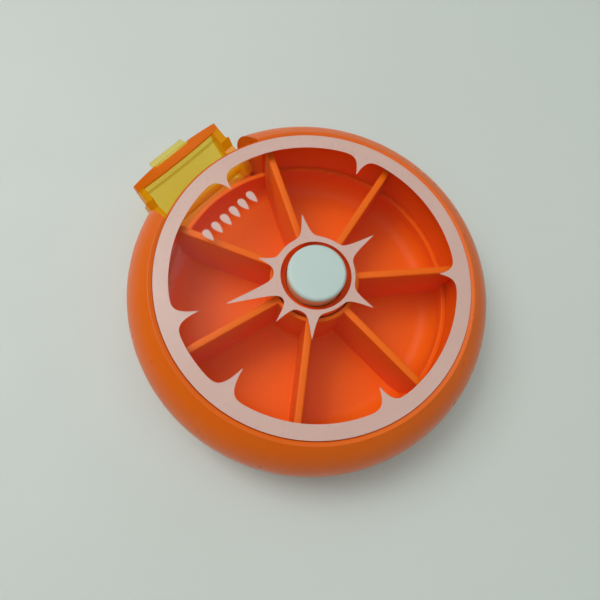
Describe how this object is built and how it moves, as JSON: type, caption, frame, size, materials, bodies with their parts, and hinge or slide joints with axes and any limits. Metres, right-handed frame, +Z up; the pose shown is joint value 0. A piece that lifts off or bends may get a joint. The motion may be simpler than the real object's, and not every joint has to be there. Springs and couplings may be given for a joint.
{
  "type": "travel pill organizer",
  "caption": "Round pocket pill case: a button-indexed wheel of compartments under a clear cover, emptied through an amber bucket door in the half-round side.",
  "frame": {"origin": "centre of the flat base, on the case's axis", "axes": "+Z up along the case's axis, the outlet door faces -Y, +X to the right of someone who faces the door from outside looking along +Y"},
  "size_m": [0.088, 0.0972, 0.0263],
  "materials": {
    "shell_orange": "satin moulded orange plastic",
    "wheel_orange": "moulded deep orange plastic",
    "clear_plastic": "clear polished plastic with a printed underside",
    "amber_plastic": "translucent amber plastic",
    "white_plastic": "cool white moulded plastic",
    "acetal": "natural acetal",
    "spring_steel": "bright spring steel"
  },
  "bodies": {
    "case": {"lower_shell": "shell_orange", "upper_shell": "shell_orange", "clear_cover": "clear_plastic", "index_spring": "spring_steel", "return_spring": "spring_steel"},
    "wheel": {"pill_wheel": "wheel_orange", "hub_cap": "wheel_orange"},
    "button": {"push_button": "white_plastic", "plunger": "acetal"},
    "drive": {"drive_ring": "acetal"},
    "door": {"outlet_door": "amber_plastic"}
  },
  "joints": [
    {"name": "wheel_turn", "type": "hinge", "parent": "case", "child": "wheel", "pos_m": [0, 0, 0], "axis": [0, 0, 1], "continuous": true, "deforming": ["index_spring"]},
    {"name": "button_press", "type": "slide", "parent": "case", "child": "button", "axis": [0, 0, 1], "range_m": [-0.003, 0], "stiffness_N_per_m": 400, "springref_m": 0.004, "deforming": ["return_spring"]},
    {"name": "drive_turn", "type": "hinge", "parent": "case", "child": "drive", "pos_m": [0, 0, 0.0105], "axis": [0, 0, 1], "range_deg": [0, 51.5]},
    {"name": "door_swing", "type": "hinge", "parent": "case", "child": "door", "pos_m": [0, -0.0376, 0.0103], "axis": [1, 0, 0], "range_deg": [-70, 5]}
  ],
  "couplings": [
    {"joint": "drive_turn", "follows": "button_press", "rad_per_m": -299.2}
  ]
}
